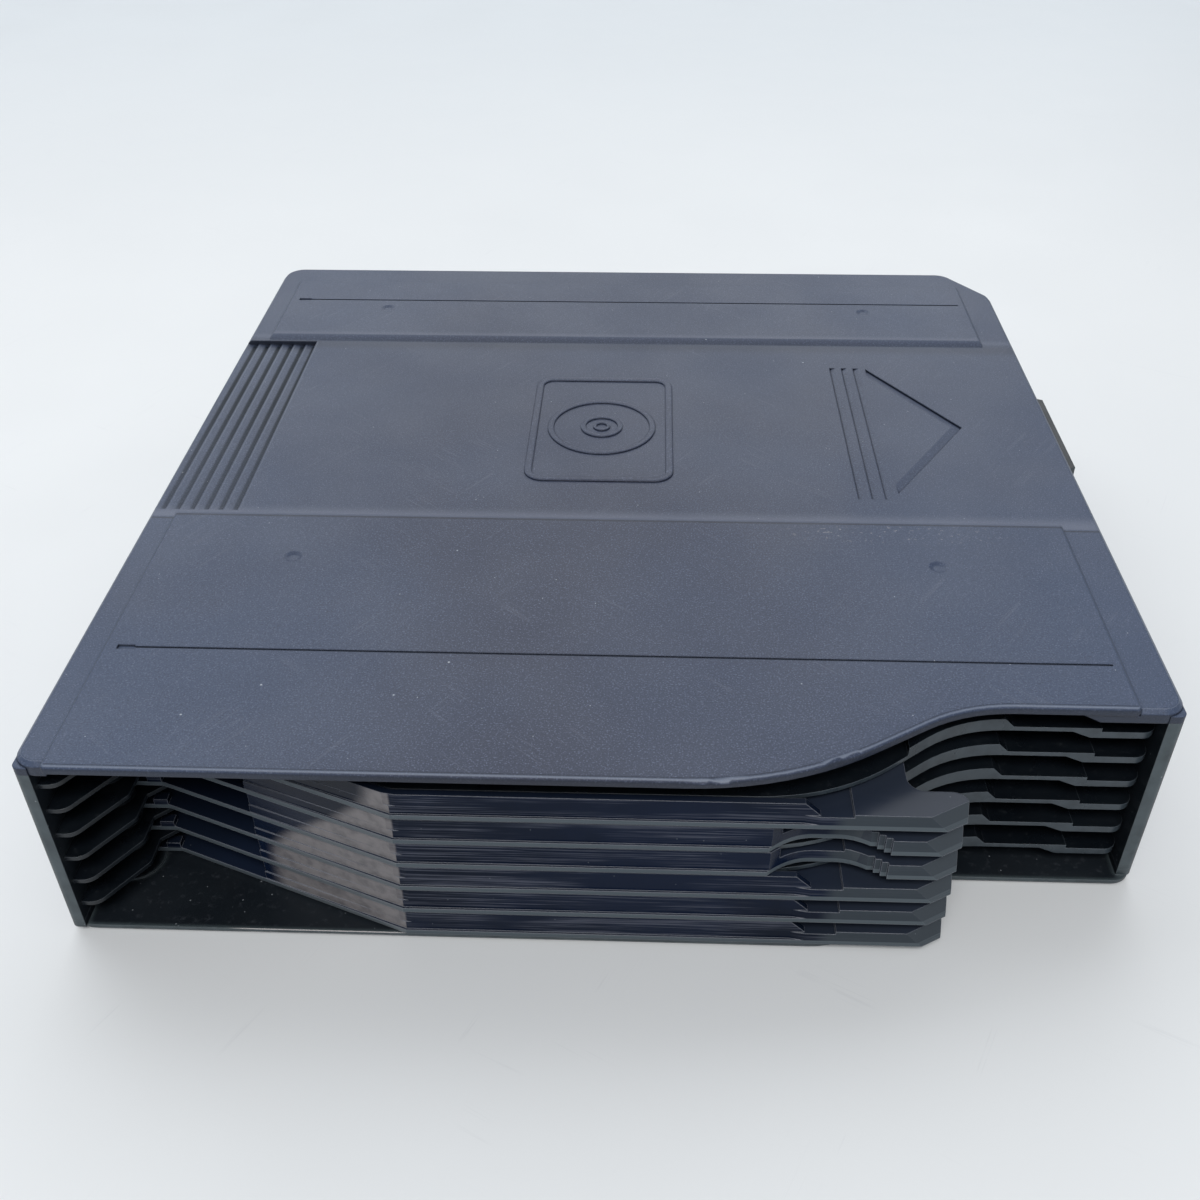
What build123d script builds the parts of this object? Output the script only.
"""Six-disc magazine of a car compact disc changer.

A flat cartridge: an upper and a lower cover clamp a left, a rear and a right wall. Six plates
stand in grooves of the walls and divide the inside into six storeys. In each storey a tray turns
on one steel shaft in the front left corner, and swings out of the open front with its disc.

Millimetres, +Z up, +X the way the magazine goes into the changer, -Y the open front.
The origin is the centre of the footprint, on the underside. Sketches are drawn on the levels of
one corner plane, so their x is measured from the left side and their y from the front.
"""

import os
from math import atan2, cos, degrees, hypot, radians, sin, sqrt

from build123d import *

os.makedirs("parts", exist_ok=True)

# ---------------------------------------------------------------- driving dimensions
disc_diameter = 120.0
disc_play = 0.5  # radial play of a disc in its recess

# case
case_width = 148.0
case_depth = 151.5
case_height = 33.0
left_wall = 2.0
right_wall = 2.2
rear_wall = 2.0
wall_seam_right, wall_seam_rear = 17.6, 5.0  # seams of the rear wall, from the right and the rear
floor_thickness = 1.0
front_corner_radius = 3.0
wall_front_round = 0.9
rear_corner_radius = 4.0
chamfer_x, chamfer_y = 7.6, 11.0  # cut-off rear right corner
right_front = 13.8  # the right-hand wall starts this far back

# levels of the case seams
rail_height = 2.2  # border of the lower cover, which carries the side frame
skirt_drop = 1.2  # the upper cover's border hangs this far below its underside
cover_thickness = 1.6  # at the raised pads
channel_depth = 0.7  # channel and margins lie this far below the pads

# upper cover
lip_reach = 1.2  # the front lip overhangs the walls
lip_left = 4.3  # left margin, beside the pads
lip_right_margin = 6.1
lip_nose = 0.7
lip_underside_bevel = 0.35
cover_edge_bevel = 0.65
front_pad_end = 54.8
rear_pad_margin, rear_pad_length = 8.4, 24.8
pad_bevel = 0.45
channel_bevel = 1.5
cover_sweep_bends = (96.2, 119.6)  # the front edge bends back here, and straight again
cover_sweep_rounds = (45.0, 22.0)
cover_sweep_front = 13.4
line_width, line_depth = 0.35, 0.25
line_left, line_right_margin = 6.4, 7.7
front_line, rear_line_margin = 22.0, 17.3
line_start_width, line_start_length = 0.9, 2.4
dimple_radius, dimple_depth, dimple_taper, dimple_sides = 1.4, 0.3, 65.0, 12
front_dimples, rear_dimples = (25.6, 27.0), (25.3, 27.2)  # from the left and from the right
front_dimple_y, rear_dimple_margin = 43.7, 21.0
grip_count = 6
grip_pitch = 2.3
grip_first = 0.2
grip_width, grip_depth = 1.9, 0.4  # of one saw-tooth groove
grip_ends = (2.2, 1.8)  # from the front pad and from the rear pad
grip_backing = 0.6
grip_sink = 0.7  # at its rear end
arrow_tip_margin, arrow_tip_shift = 15.7, -0.55  # the shift is from the channel's middle
arrow_length, arrow_half = 13.9, 21.4
arrow_slope = 1.6  # the floor rises this far inside the slanted edges
relief_depth = 0.35  # arrow and stripes
stripe_count, stripe_pitch, stripe_gap = 3, 2.15, 2.3
stripe_width, stripe_half = 1.1, 22.4
stripe_shift = -1.35
guide_slope_margin, guide_slope_width = 13.3, 2.4  # under the cover and the separators
cover_boss_seat = 0.6  # the hinge shaft stands this deep in the cover
shaft_end_play = 0.1

# lower cover
floor_front = 0.4
floor_sweep_bends = (106.8, 118.2)
floor_sweep_rounds = (13.0, 9.8)
floor_sweep_front = 12.7
floor_edge_bevel = 0.4

# guide key on the right-hand wall
key_reach = 1.8
key_front, key_rear = 76.0, 101.0
key_height = 9.2
key_bevel = 0.8

# hinge
hinge_x, hinge_y = 5.0, 12.5
shaft_radius = 1.0
shaft_seat_fit = 0.03
tray_bore_fit = 0.06
shaft_seat_depth = 0.8
hub_radius = 2.5
collar_radius = 2.6
floor_boss_radius = 4.2
axial_play = 0.15  # tray hub to the seats above and below it

# trays, heights above the underside of each tray
tray_count = 6
stack_play = 1.8  # room over the stack, under the frame's top
floor_boss_rise = 0.25
tray_floor = 0.75
tray_tab_play = 0.5  # the finger tab, to the separator above
tray_tab_rise = 0.5  # above the land
tray_rim_play = 0.4  # the rim, to the tray above
tray_radius = 106.8
tray_side_play = 0.6
flange_lip = 0.3
rim_width = 1.0
rim_corner_cut = 0.9
front_corner_x = 46.4
inner_bend = (11.5, 13.63)
rim_left = 25.1  # the rim of the slanted side ends here
rim_slope_start, rim_slope_end = 98.3, 100.3
tab_step = 104.4
tab_back = 14.0
tab_reach = 118.9
tab_tip_width = 4.4
tab_round = 1.9
finger_notch_x = 111.7
finger_notch_round = 2.2
tab_bevel_start, tab_bevel_side = (113.8, 0.0), (118.9, 2.9)
tab_bevel_width = 1.15
disc_center = (63.6, 62.2)
lump_start, lump_end, lump_depth, lump_height = 9.4, 11.4, 1.4, 1.7
pickup_slot_width = 34.0
detent_angle, detent_depth, detent_width = 87.5, 0.8, 2.4
thumb_trays = (2, 3)  # numbered from the top
thumb_left, thumb_right = 94.3, 109.7
thumb_depth = 2.65
thumb_flat = (100.3, 103.4)
thumb_tooth_count, thumb_tooth_pitch, thumb_tooth_rise = 3, 0.8, 0.5

# separators
separator_thickness = 0.65
separator_play = 0.75  # to the tray above
separator_drop = 1.0  # step down of the right-hand part
separator_drop_thickness = 1.05
separator_step = 1.3  # behind the slope on the underside
separator_tongue = 0.8  # how deep the plates stand in the walls
separator_setback = 1.7
separator_sweep_bends = (102.1, 119.7)
separator_sweep_rounds = (29.0, 18.0)
separator_sweep_front = 15.4
separator_corner = 2.0
rib_rise = 0.55  # guide rib, above the underside of the tray above
rib_depth = 2.4
rib_slope_start, rib_slope_end = 125.6, 126.9
rib_play = 0.4
lobe_outline = ((2.0, 0.95), (4.3, 0.95), (9.3, 8.3), (9.3, 12.6))
lobe_rounds = (2.2, 1.2)
left_bay_width, left_bay_play = 12.5, 5.2  # cut away for the spring and a post
right_bay_margins = (15.4, 11.1)  # cut away for the other post

# screws, their posts and the retaining spring
post_margins, post_rear_margin = (7.0, 12.0), 7.5  # from the left, the right and the rear
post_radius = 3.0
screw_core_radius = 0.8
screw_pilot_fit = 0.02
screw_head_radius = 1.4
screw_head_height = 0.6
screw_head_sink = 0.7
screw_reach = 7.0
pilot_play = 0.5
spring_thickness = 0.3
spring_plate_play, spring_plate_share = 10.2, 0.425  # the share is of the room behind the trays
spring_finger_height = 1.5
spring_finger_lift = 0.35
spring_straight = 3.0
spring_tip_gap = 0.3
spring_tip_x, spring_tip_play = 12.0, 2.9

# ---------------------------------------------------------------- values that follow
corner = Plane(origin=(-(case_width + key_reach) / 2, -(case_depth - lip_reach) / 2, 0))
upright = Plane(corner.origin, x_dir=(1, 0, 0), z_dir=(0, -1, 0))  # its x is X, its y is Z
across = Plane(corner.origin, x_dir=(0, 1, 0), z_dir=(1, 0, 0))  # its x is Y, its y is Z
inner_right = case_width - right_wall
inner_rear = case_depth - rear_wall
cover_underside = case_height - cover_thickness
margin_top = case_height - channel_depth
frame_top = cover_underside - skirt_drop
lip_right = case_width - lip_right_margin
rear_pad_end = case_depth - rear_pad_margin
rear_pad_start = rear_pad_end - rear_pad_length
channel_middle = (front_pad_end + rear_pad_start) / 2
grip_front, grip_rear = front_pad_end + grip_ends[0], rear_pad_start - grip_ends[1]
arrow_tip = (case_width - arrow_tip_margin, channel_middle + arrow_tip_shift)
arrow_base = arrow_tip[0] - arrow_length
arrow_edge = hypot(arrow_length, arrow_half)
stripe_first = arrow_base - stripe_gap - stripe_count * stripe_pitch + stripe_pitch
guide_slope_start = case_width - guide_slope_margin
guide_slope_end = guide_slope_start + guide_slope_width
wall_seam_x, wall_seam_y = case_width - wall_seam_right, case_depth - wall_seam_rear
post_y = case_depth - post_rear_margin
screw_posts = ((post_margins[0], post_y), (case_width - post_margins[1], post_y))
boss_top = floor_thickness + floor_boss_rise
lowest_tray = boss_top + axial_play
tray_pitch = (frame_top - stack_play - lowest_tray) / tray_count
tray_rim = tray_pitch - tray_rim_play
tray_rear = hinge_y + tray_radius
separator_underside = tray_pitch - separator_play - separator_thickness
tray_tab = separator_underside - tray_tab_play
tray_land = tray_tab - tray_tab_rise
recess_radius = disc_diameter / 2 + disc_play
tray_left = left_wall + tray_side_play
separator_low = separator_underside - separator_drop
separator_top = separator_underside + separator_thickness
collar_top = tray_pitch - axial_play
rib_top = tray_pitch + rib_rise
hub_height = separator_underside - axial_play
shaft_bottom = boss_top - shaft_seat_depth + shaft_end_play
shaft_top = cover_underside + cover_boss_seat - shaft_end_play
grip_right = grip_first + (grip_count - 1) * grip_pitch + grip_width
pilot_radius = screw_core_radius + screw_pilot_fit
disc_angle = degrees(atan2(disc_center[1] - hinge_y, disc_center[0] - hinge_x))
slant_angle = atan2(inner_bend[1], inner_bend[0] - front_corner_x)
slant_length = hypot(inner_bend[1], inner_bend[0] - front_corner_x)
tray_lifts = [lowest_tray + storey * tray_pitch for storey in reversed(range(tray_count))]
top_collar = tray_lifts[0] + collar_top


def level(height):
    """The corner plane, raised."""
    return corner.offset(height)


def on_hinge(radius, angle):
    """A point at a distance and an angle about the hinge."""
    return (hinge_x + radius * cos(radians(angle)), hinge_y + radius * sin(radians(angle)))


def slant_point(along, inset):
    """A point along the trays' slanted front side from its right end, moved inward."""
    return (
        front_corner_x + along * cos(slant_angle) + inset * sin(slant_angle),
        along * sin(slant_angle) - inset * cos(slant_angle),
    )


def slant_corner(inset):
    """Where the slanted side meets the straight front, both moved inward."""
    return slant_point(inset * (1 + cos(slant_angle)) / sin(slant_angle), inset)


def swept_front(start, bends, end, rounds):
    """A front edge that leads back in an S towards the right-hand wall."""
    FilletPolyline(start, (bends[0], start[1]), (bends[1], end[1]), end, radius=rounds)


def rear_outline(left_front, right_front_end):
    """Left side, rear and right side of the case, from the front left to the front right."""
    FilletPolyline(
        (0, left_front),
        (0, case_depth),
        (case_width - chamfer_x, case_depth),
        (case_width, case_depth - chamfer_y),
        (case_width, right_front_end),
        radius=rear_corner_radius,
    )


def case_outline(front, right_edge, bends, rounds):
    """Footprint of a cover, with a straight front that sweeps back on the right."""
    radius = front_corner_radius
    rear_outline(front + radius, right_edge + radius)
    JernArc((case_width, right_edge + radius), (0, -1), radius, -90)
    swept_front((radius, front), bends, (case_width - radius, right_edge), rounds)
    JernArc((radius, front), (-1, 0), radius, -90)


def wall_outline():
    """Plan of the U-shaped wall: left, rear and right."""
    rear_outline(wall_front_round, right_front + wall_front_round)
    JernArc((case_width, right_front + wall_front_round), (0, -1), wall_front_round, -90)
    Line((case_width - wall_front_round, right_front), (inner_right, right_front))
    FilletPolyline(
        (inner_right, right_front),
        (inner_right, case_depth - chamfer_y - rear_wall / 2),
        (case_width - chamfer_x - rear_wall, inner_rear),
        (left_wall, inner_rear),
        (left_wall, 0),
        radius=rear_corner_radius - rear_wall,
    )
    Line((left_wall, 0), (wall_front_round, 0))
    JernArc((wall_front_round, 0), (-1, 0), wall_front_round, -90)


# ---------------------------------------------------------------- lower cover
with BuildPart() as lower_cover:
    with BuildSketch(level(0)):
        with BuildLine():
            case_outline(floor_front, floor_sweep_front, floor_sweep_bends, floor_sweep_rounds)
        make_face()
    extrude(amount=floor_thickness)
    with BuildSketch(level(floor_thickness)):
        with BuildLine():
            wall_outline()
        make_face()
    extrude(amount=rail_height - floor_thickness)
    with BuildSketch(level(floor_thickness)):
        with Locations((hinge_x, hinge_y)):
            Circle(floor_boss_radius)
    extrude(amount=floor_boss_rise)
    chamfer(lower_cover.faces().sort_by(Axis.Z)[0].edges(), floor_edge_bevel)
    with BuildSketch(level(boss_top - shaft_seat_depth)):
        with Locations((hinge_x, hinge_y)):
            Circle(shaft_radius + shaft_seat_fit)
    extrude(amount=shaft_seat_depth, mode=Mode.SUBTRACT)
    with BuildSketch(level(0)):
        with Locations(*screw_posts):
            Circle(pilot_radius)
    extrude(amount=rail_height, mode=Mode.SUBTRACT)
    with BuildSketch(level(0)):
        with Locations(*screw_posts):
            Circle(screw_head_radius + screw_pilot_fit)
    extrude(amount=screw_head_sink, mode=Mode.SUBTRACT)
lower_cover.part.label = "lower_cover"
export_step(lower_cover.part, "parts/lower_cover.step")

# ---------------------------------------------------------------- one separator
with BuildPart() as separator_shape:
    with BuildSketch(level(separator_low)):
        with BuildLine():
            tongue_left = left_wall - separator_tongue
            tongue_right = inner_right + separator_tongue
            tongue_rear = inner_rear + separator_tongue
            tongue_front = separator_sweep_front + separator_corner
            right_bay_x = case_width - right_bay_margins[0]
            right_bay_y = case_depth - right_bay_margins[1]
            left_bay_y = tray_rear + left_bay_play
            round_start = (inner_right - separator_corner, separator_sweep_front)
            Line((tongue_left, lobe_outline[0][1]), lobe_outline[0])
            FilletPolyline(*lobe_outline, radius=lobe_rounds)
            Polyline(
                lobe_outline[-1],
                slant_point(slant_length, separator_setback),
                slant_corner(separator_setback),
            )
            swept_front(
                slant_corner(separator_setback),
                separator_sweep_bends,
                round_start,
                separator_sweep_rounds,
            )
            JernArc(round_start, (1, 0), separator_corner, 90)
            Polyline(
                (inner_right, tongue_front),
                (tongue_right, tongue_front),
                (tongue_right, right_bay_y),
                (right_bay_x, right_bay_y),
                (right_bay_x, tongue_rear),
                (left_bay_width, tongue_rear),
                (left_bay_width, left_bay_y),
                (tongue_left, left_bay_y),
                (tongue_left, lobe_outline[0][1]),
            )
        make_face()
        with Locations((hinge_x, hinge_y)):
            Circle(shaft_radius + shaft_seat_fit, mode=Mode.SUBTRACT)
    extrude(amount=separator_top - separator_low)
    # the right-hand part steps down, over a slope on its underside
    with BuildSketch(upright):
        with BuildLine():
            Polyline(
                (0, separator_low),
                (guide_slope_end, separator_low),
                (guide_slope_start, separator_underside),
                (0, separator_underside),
                close=True,
            )
        make_face()
        with BuildLine():
            step = guide_slope_end + separator_step
            drop_top = separator_low + separator_drop_thickness
            Polyline(
                (step, separator_top),
                (step, drop_top),
                (case_width, drop_top),
                (case_width, separator_top),
                close=True,
            )
        make_face()
    extrude(amount=-case_depth, mode=Mode.SUBTRACT)
    # seat of the hub above, round the shaft
    with BuildSketch(level(separator_top)):
        with Locations((hinge_x, hinge_y)):
            Circle(collar_radius)
            Circle(shaft_radius + shaft_seat_fit, mode=Mode.SUBTRACT)
    extrude(amount=collar_top - separator_top)
    # guide rib behind the swept front edge, clear of the turning tray
    with BuildSketch(level(separator_top)):
        for shift, mode in ((0, Mode.ADD), (rib_depth, Mode.SUBTRACT)):
            with BuildLine():
                start = (front_corner_x, separator_setback + shift)
                end = (rib_slope_end, separator_sweep_front + shift)
                swept_front(start, separator_sweep_bends, end, separator_sweep_rounds)
                Polyline(end, (end[0], end[1] + rib_depth), (start[0], end[1] + rib_depth), start)
            make_face(mode=mode)
        with Locations((hinge_x, hinge_y)):
            Circle(tray_radius + rib_play, mode=Mode.SUBTRACT)
    extrude(amount=rib_top - separator_top)
    with BuildSketch(upright):
        with BuildLine():
            Polyline(
                (rib_slope_start, rib_top),
                (rib_slope_end, separator_top),
                (rib_slope_end, rib_top),
                close=True,
            )
        make_face()
    extrude(amount=-case_depth, mode=Mode.SUBTRACT)

# ---------------------------------------------------------------- one tray


def tray_outline(flange_inset):
    """Plan of a tray. The rim's face stands back from the flange by the inset."""
    arc_start = (finger_notch_x, hinge_y - sqrt(tray_radius**2 - (finger_notch_x - hinge_x) ** 2))
    arc_end = (tray_left, hinge_y + sqrt(tray_radius**2 - (tray_left - hinge_x) ** 2))
    Polyline(
        arc_end,
        (tray_left, inner_bend[1]),
        inner_bend,
        slant_corner(flange_inset),
        (rim_slope_start, flange_inset),
        (rim_slope_end, 0),
    )
    FilletPolyline(
        (rim_slope_end, 0),
        (tab_reach, 0),
        (tab_reach, tab_tip_width),
        (finger_notch_x, tab_tip_width),
        arc_start,
        radius=(tab_round, tab_round, finger_notch_round),
    )
    ThreePointArc(arc_start, on_hinge(tray_radius, disc_angle), arc_end)


with BuildPart() as tray_shape:
    with BuildSketch(level(0)):
        with BuildLine():
            tray_outline(0)
        make_face()
    extrude(amount=tray_floor)
    # raised land round the disc's recess
    with BuildSketch(level(tray_floor)):
        with BuildLine():
            tray_outline(flange_lip)
        make_face()
        with Locations(disc_center):
            Circle(recess_radius, mode=Mode.SUBTRACT)
        with BuildLine():
            rim_end = (front_corner_x - rim_left) / -cos(slant_angle)
            Polyline(
                slant_point(rim_end, -rim_width),
                slant_point(rim_end, recess_radius),
                (0, disc_center[1]),
                (0, 0),
                close=True,
            )
        make_face(mode=Mode.SUBTRACT)
    extrude(amount=tray_land - tray_floor)
    # rim along the slanted side and the front
    with BuildSketch(level(tray_floor)):
        with BuildLine():
            Polyline(
                slant_point(rim_end, flange_lip),
                slant_point(rim_corner_cut, flange_lip),
                (slant_corner(flange_lip)[0] + rim_corner_cut, flange_lip),
                (rim_slope_end, flange_lip),
                (rim_slope_end, flange_lip + rim_width),
                slant_corner(flange_lip + rim_width),
                slant_point(rim_end, flange_lip + rim_width),
                close=True,
            )
        make_face()
    extrude(amount=tray_rim - tray_floor)
    with BuildSketch(upright):
        with BuildLine():
            Polyline(
                (rim_slope_start, tray_rim),
                (rim_slope_end, tray_land),
                (rim_slope_end, tray_rim),
                close=True,
            )
        make_face()
    extrude(amount=-case_depth, mode=Mode.SUBTRACT)
    # raised finger tab
    with BuildSketch(level(tray_land)):
        with BuildLine():
            tray_outline(0)
        make_face()
        with Locations((tab_step, 0)):
            Rectangle(
                tab_reach - tab_step,
                tab_back,
                align=(Align.MIN, Align.MIN),
                mode=Mode.INTERSECT,
            )
    extrude(amount=tray_tab - tray_land)
    bevel_run = Vector(*tab_bevel_side) - Vector(*tab_bevel_start)
    bevel_out = bevel_run.rotate(Axis.Z, -90)
    with BuildSketch(
        Plane(
            corner.from_local_coords((*tab_bevel_start, tray_tab)), x_dir=bevel_out, z_dir=-bevel_run
        )
    ):
        with BuildLine():
            Polyline(
                (0, 0), (tab_bevel_width, -tray_tab), (tab_reach, -tray_tab), (tab_reach, 0), close=True
            )
        make_face()
    extrude(amount=tab_reach, both=True, mode=Mode.SUBTRACT)
    # opening for the turntable, and for the pick-up out to the free edge
    with BuildSketch(level(0)):
        with Locations(disc_center):
            Circle(pickup_slot_width / 2)
        with Locations(Location((*disc_center, 0), (0, 0, disc_angle))):
            Rectangle(disc_diameter / 2, pickup_slot_width, align=(Align.MIN, Align.CENTER))
    extrude(amount=tray_rim, mode=Mode.SUBTRACT)
    # notch for the retaining spring
    with BuildSketch(level(0)):
        with Locations(Location((*on_hinge(tray_radius, detent_angle), 0), (0, 0, detent_angle))):
            with BuildLine():
                Polyline(
                    (-detent_depth, 0),
                    (detent_depth, -detent_width),
                    (detent_depth, detent_width),
                    close=True,
                )
            make_face()
    extrude(amount=tray_rim, mode=Mode.SUBTRACT)
    # stop lump and hub
    with BuildSketch(level(0)):
        with Locations((lump_start, inner_bend[1])):
            Rectangle(lump_end - lump_start, lump_depth, align=(Align.MIN, Align.MIN))
    extrude(amount=lump_height)
    with BuildSketch(level(0)):
        with Locations((hinge_x, hinge_y)):
            Circle(hub_radius)
    extrude(amount=hub_height)
    with BuildSketch(level(0)):
        with Locations((hinge_x, hinge_y)):
            Circle(shaft_radius + tray_bore_fit)
    extrude(amount=hub_height, mode=Mode.SUBTRACT)

with BuildPart() as thumb_cut:
    with BuildSketch(level(0)):
        with BuildLine():
            teeth_start = thumb_right - thumb_tooth_count * thumb_tooth_pitch
            teeth_rear = thumb_tooth_count * thumb_tooth_rise
            teeth = [(teeth_start, teeth_rear)]
            for tooth in range(thumb_tooth_count):
                x, y = teeth[-1]
                teeth.append((x + thumb_tooth_pitch, y))
                teeth.append((x + thumb_tooth_pitch, y - thumb_tooth_rise))
            deep = [(x, thumb_depth) for x in thumb_flat]
            Bezier((thumb_left, 0), ((thumb_left + deep[0][0]) / 2, thumb_depth), deep[0])
            Line(deep[0], deep[1])
            Bezier(deep[1], ((deep[1][0] + teeth_start) / 2, thumb_depth), teeth[0])
            Polyline(*teeth, (thumb_left, 0))
        make_face()
    extrude(amount=tray_rim)

separators = []
for number, lift in enumerate(tray_lifts, start=1):
    with BuildPart() as tray:
        with Locations((0, 0, lift)):
            add(tray_shape.part)
            if number in thumb_trays:
                add(thumb_cut.part, mode=Mode.SUBTRACT)
    tray.part.label = f"tray_{number}"
    export_step(tray.part, f"parts/tray_{number}.step")
    with BuildPart() as separator:
        with Locations((0, 0, lift)):
            add(separator_shape.part)
    separator.part.label = f"separator_{number}"
    export_step(separator.part, f"parts/separator_{number}.step")
    separators.append(separator.part)

# ---------------------------------------------------------------- walls
with BuildPart() as wall_ring:
    with BuildSketch(level(rail_height)):
        with BuildLine():
            wall_outline()
        make_face()
    extrude(amount=frame_top - rail_height)
    # guide key
    with BuildSketch(level(frame_top - key_height)):
        with BuildLine():
            Polyline(
                (case_width, key_front),
                (case_width + key_reach, key_front + key_bevel),
                (case_width + key_reach, key_rear - key_bevel),
                (case_width, key_rear),
                close=True,
            )
        make_face()
    extrude(amount=key_height)
    for plate in separators:
        add(plate, mode=Mode.SUBTRACT)

wall_regions = {
    "left_wall": ((0, 0), (wall_seam_x, wall_seam_y)),
    "rear_wall": ((0, wall_seam_y), (wall_seam_x, case_depth)),
    "right_wall": ((wall_seam_x, 0), (case_width + key_reach, case_depth)),
}
for name, (near, far) in wall_regions.items():
    with BuildPart() as wall:
        add(wall_ring.part)
        with BuildSketch(level(0)):
            with Locations(near):
                Rectangle(far[0] - near[0], far[1] - near[1], align=(Align.MIN, Align.MIN))
        extrude(amount=case_height, mode=Mode.INTERSECT)
    wall.part.label = name
    export_step(wall.part, f"parts/{name}.step")

# ---------------------------------------------------------------- upper cover
with BuildPart() as front_pad:
    with BuildSketch(level(cover_underside)):
        with BuildLine():
            start, end = (lip_left, -lip_reach), (lip_right, cover_sweep_front)
            swept_front(start, cover_sweep_bends, end, cover_sweep_rounds)
            pad_rear = front_pad_end + channel_bevel
            Polyline(end, (lip_right, pad_rear), (lip_left, pad_rear), start)
        make_face()
    extrude(amount=cover_thickness)
    with BuildSketch(across.offset(lip_left)):
        with BuildLine():
            Polyline(
                (front_pad_end, case_height),
                (pad_rear, margin_top),
                (pad_rear, case_height),
                close=True,
            )
        make_face()
    extrude(amount=lip_right - lip_left, mode=Mode.SUBTRACT)
    pad_top = front_pad.faces().sort_by(Axis.Z)[-1]
    fillet(pad_top.edges().sort_by(Axis.Y)[:-3], lip_nose)
    pad_top = front_pad.faces().sort_by(Axis.Z)[-1]
    chamfer(pad_top.edges().filter_by(Axis.Y), pad_bevel)
    pad_base = front_pad.faces().sort_by(Axis.Z)[0]
    chamfer(pad_base.edges().sort_by(Axis.Y)[:-3], lip_underside_bevel)

with BuildPart() as rear_pad:
    with BuildSketch(across.offset(lip_left)):
        with BuildLine():
            Polyline(
                (rear_pad_start - channel_bevel, cover_underside),
                (rear_pad_start - channel_bevel, margin_top),
                (rear_pad_start, case_height),
                (rear_pad_end, case_height),
                (rear_pad_end + pad_bevel, margin_top),
                (rear_pad_end + pad_bevel, cover_underside),
                close=True,
            )
        make_face()
    extrude(amount=lip_right - lip_left)
    pad_top = rear_pad.faces().sort_by(Axis.Z)[-1]
    chamfer(pad_top.edges().filter_by(Axis.Y), pad_bevel)

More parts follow.
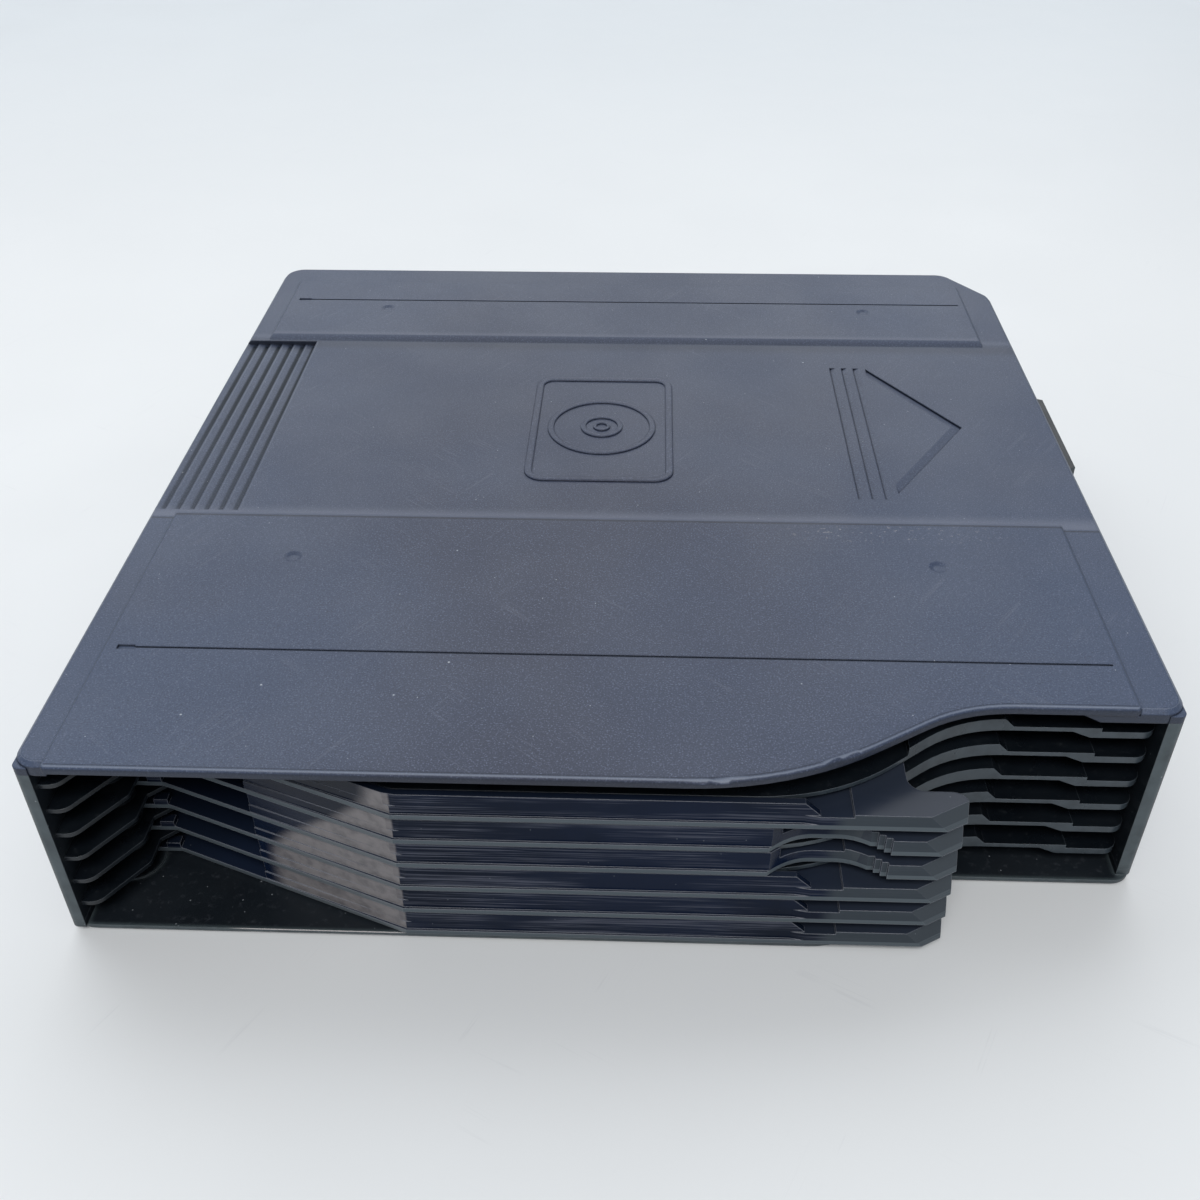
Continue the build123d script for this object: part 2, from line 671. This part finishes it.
with BuildPart() as upper_cover:
    with BuildSketch(level(frame_top)):
        with BuildLine():
            wall_outline()
        make_face()
    extrude(amount=skirt_drop)
    # corner block on the left wall, and sloped shelf along the right one
    blocks = ((0, lip_left, lip_left), (guide_slope_start, case_width, case_depth))
    for place, width, depth in blocks:
        with BuildSketch(level(frame_top)):
            with BuildLine():
                case_outline(0, right_front, cover_sweep_bends, cover_sweep_rounds)
            make_face()
            with Locations((place, 0)):
                Rectangle(width, depth, align=(Align.MIN, Align.MIN), mode=Mode.INTERSECT)
        extrude(amount=skirt_drop)
    with BuildSketch(upright):
        with BuildLine():
            Polyline(
                (guide_slope_start, cover_underside),
                (guide_slope_end, frame_top),
                (guide_slope_start, frame_top),
                close=True,
            )
        make_face()
    extrude(amount=-inner_rear, mode=Mode.SUBTRACT)
    # margins and channel, open at the front where the thicker pad comes
    with BuildSketch(level(cover_underside)):
        with BuildLine():
            case_outline(0, right_front, cover_sweep_bends, cover_sweep_rounds)
        make_face()
        with Locations((lip_left, -lip_reach)):
            Rectangle(
                lip_right - lip_left,
                front_pad_end + lip_reach,
                align=(Align.MIN, Align.MIN),
                mode=Mode.SUBTRACT,
            )
    extrude(amount=cover_thickness - channel_depth)
    rims = upper_cover.faces().sort_by(Axis.Z)[-1].edges()
    beside_pad = rims.filter_by(Axis.Y).sort_by(Axis.X)[1:-1]
    beside_pad += rims.filter_by(Axis.X).sort_by(Axis.Y)[2:3]
    chamfer(rims - beside_pad, cover_edge_bevel)
    add(front_pad.part)
    add(rear_pad.part)
    # hinge boss and screw posts
    with BuildSketch(level(top_collar)):
        with Locations((hinge_x, hinge_y)):
            Circle(collar_radius)
    extrude(amount=cover_underside - top_collar)
    with BuildSketch(level(top_collar)):
        with Locations((hinge_x, hinge_y)):
            Circle(shaft_radius + shaft_seat_fit)
    extrude(amount=cover_underside + cover_boss_seat - top_collar, mode=Mode.SUBTRACT)
    with BuildSketch(level(floor_thickness)):
        with Locations(*screw_posts):
            Circle(post_radius)
    extrude(amount=cover_underside - floor_thickness)
    with BuildSketch(level(floor_thickness)):
        with Locations(*screw_posts):
            Circle(pilot_radius)
    extrude(amount=screw_reach + pilot_play - floor_thickness, mode=Mode.SUBTRACT)
    # lines across the pads
    with BuildSketch(level(case_height)):
        line_length = case_width - line_right_margin - line_left
        for place in (front_line, case_depth - rear_line_margin):
            with Locations((line_left, place)):
                Rectangle(line_length, line_width, align=(Align.MIN, Align.CENTER))
                Rectangle(line_start_length, line_start_width, align=(Align.MIN, Align.CENTER))
    extrude(amount=-line_depth, mode=Mode.SUBTRACT)
    # dimples
    with BuildSketch(level(case_height)):
        rear_dimple_y = case_depth - rear_dimple_margin
        for (left, right), place in ((front_dimples, front_dimple_y), (rear_dimples, rear_dimple_y)):
            with Locations((left, place), (case_width - right, place)):
                RegularPolygon(dimple_radius, dimple_sides)
    extrude(amount=-dimple_depth, taper=dimple_taper, mode=Mode.SUBTRACT)
    # finger grip: a floor that sinks towards the rear, with grooves along it
    with BuildSketch(level(cover_underside)):
        with Locations((left_wall, grip_front)):
            Rectangle(
                grip_right - left_wall + cover_thickness,
                grip_rear - grip_front + cover_thickness,
                align=(Align.MIN, Align.MIN),
            )
    extrude(amount=-grip_backing)
    with BuildSketch(across):
        with BuildLine():
            Polyline(
                (grip_front, margin_top),
                (grip_rear, margin_top - grip_sink),
                (grip_rear, case_height),
                (grip_front, case_height),
                close=True,
            )
        make_face()
    extrude(amount=grip_right, mode=Mode.SUBTRACT)
    ramp_start = Vector(corner.from_local_coords((0, grip_front, margin_top)))
    ramp = Vector(0, grip_rear - grip_front, -grip_sink)
    with BuildSketch(Plane(ramp_start, x_dir=(1, 0, 0), z_dir=ramp)):
        for groove in range(grip_count):
            left = grip_first + groove * grip_pitch
            with BuildLine():
                Polyline((left, 0), (left + grip_width, 0), (left + grip_width, grip_depth), close=True)
            make_face()
    extrude(amount=ramp.length, mode=Mode.SUBTRACT)
    # arrow, whose floor rises from the slanted edges to a flat middle
    with BuildSketch(level(margin_top)):
        with BuildLine():
            Polyline(
                arrow_tip,
                (arrow_base, arrow_tip[1] + arrow_half),
                (arrow_base, arrow_tip[1] - arrow_half),
                close=True,
            )
        make_face()
    extrude(amount=-relief_depth, mode=Mode.SUBTRACT)
    for height, inset in ((margin_top - relief_depth, 0), (margin_top, arrow_slope)):
        with BuildSketch(level(height)):
            with BuildLine():
                inset_half = arrow_half - inset * arrow_edge / arrow_length
                inset_tip = arrow_base + arrow_length * inset_half / arrow_half
                Polyline(
                    (inset_tip, arrow_tip[1]),
                    (arrow_base, arrow_tip[1] + inset_half),
                    (arrow_base, arrow_tip[1] - inset_half),
                    close=True,
                )
            make_face()
    loft()
    # stripes, deepest along their left edges
    with BuildSketch(upright.offset(-(channel_middle + stripe_shift - stripe_half))):
        for stripe in range(stripe_count):
            left = stripe_first + stripe * stripe_pitch
            with BuildLine():
                Polyline(
                    (left, margin_top),
                    (left, margin_top - relief_depth),
                    (left + stripe_width, margin_top),
                    close=True,
                )
            make_face()
    extrude(amount=-2 * stripe_half, mode=Mode.SUBTRACT)
upper_cover.part.label = "upper_cover"
export_step(upper_cover.part, "parts/upper_cover.step")

# ---------------------------------------------------------------- small metal parts
with BuildPart() as hinge_shaft:
    with BuildSketch(level(shaft_bottom)):
        with Locations((hinge_x, hinge_y)):
            Circle(shaft_radius)
    extrude(amount=shaft_top - shaft_bottom)
hinge_shaft.part.label = "hinge_shaft"
export_step(hinge_shaft.part, "parts/hinge_shaft.step")

with BuildPart() as cover_screws:
    with BuildSketch(level(screw_head_sink - screw_head_height)):
        with Locations(*screw_posts):
            Circle(screw_head_radius)
    extrude(amount=screw_head_height)
    with BuildSketch(level(screw_head_sink)):
        with Locations(*screw_posts):
            Circle(screw_core_radius)
    extrude(amount=screw_reach - screw_head_sink)
cover_screws.part.label = "cover_screws"
export_step(cover_screws.part, "parts/cover_screws.step")

with BuildPart() as retaining_spring:
    # the plate stands between the covers, against the left wall
    plate_front = tray_rear + spring_plate_play
    with BuildSketch(across.offset(left_wall)):
        with Locations((plate_front, floor_thickness)):
            Rectangle(
                spring_plate_share * (inner_rear - plate_front),
                cover_underside - floor_thickness,
                align=(Align.MIN, Align.MIN),
            )
    extrude(amount=spring_thickness)
    # one bent finger for each tray
    middle = left_wall + spring_thickness / 2
    bend = (middle, plate_front - spring_straight)
    tip = on_hinge(tray_radius + spring_tip_gap + spring_thickness, detent_angle)
    tip_back = (spring_tip_x, tray_rear + spring_tip_play)
    for lift in tray_lifts:
        with BuildSketch(level(lift + spring_finger_lift)):
            with BuildLine():
                Polyline((middle, plate_front), bend, tip, tip_back)
            trace(line_width=spring_thickness)
        extrude(amount=spring_finger_height)
retaining_spring.part.label = "retaining_spring"
export_step(retaining_spring.part, "parts/retaining_spring.step")
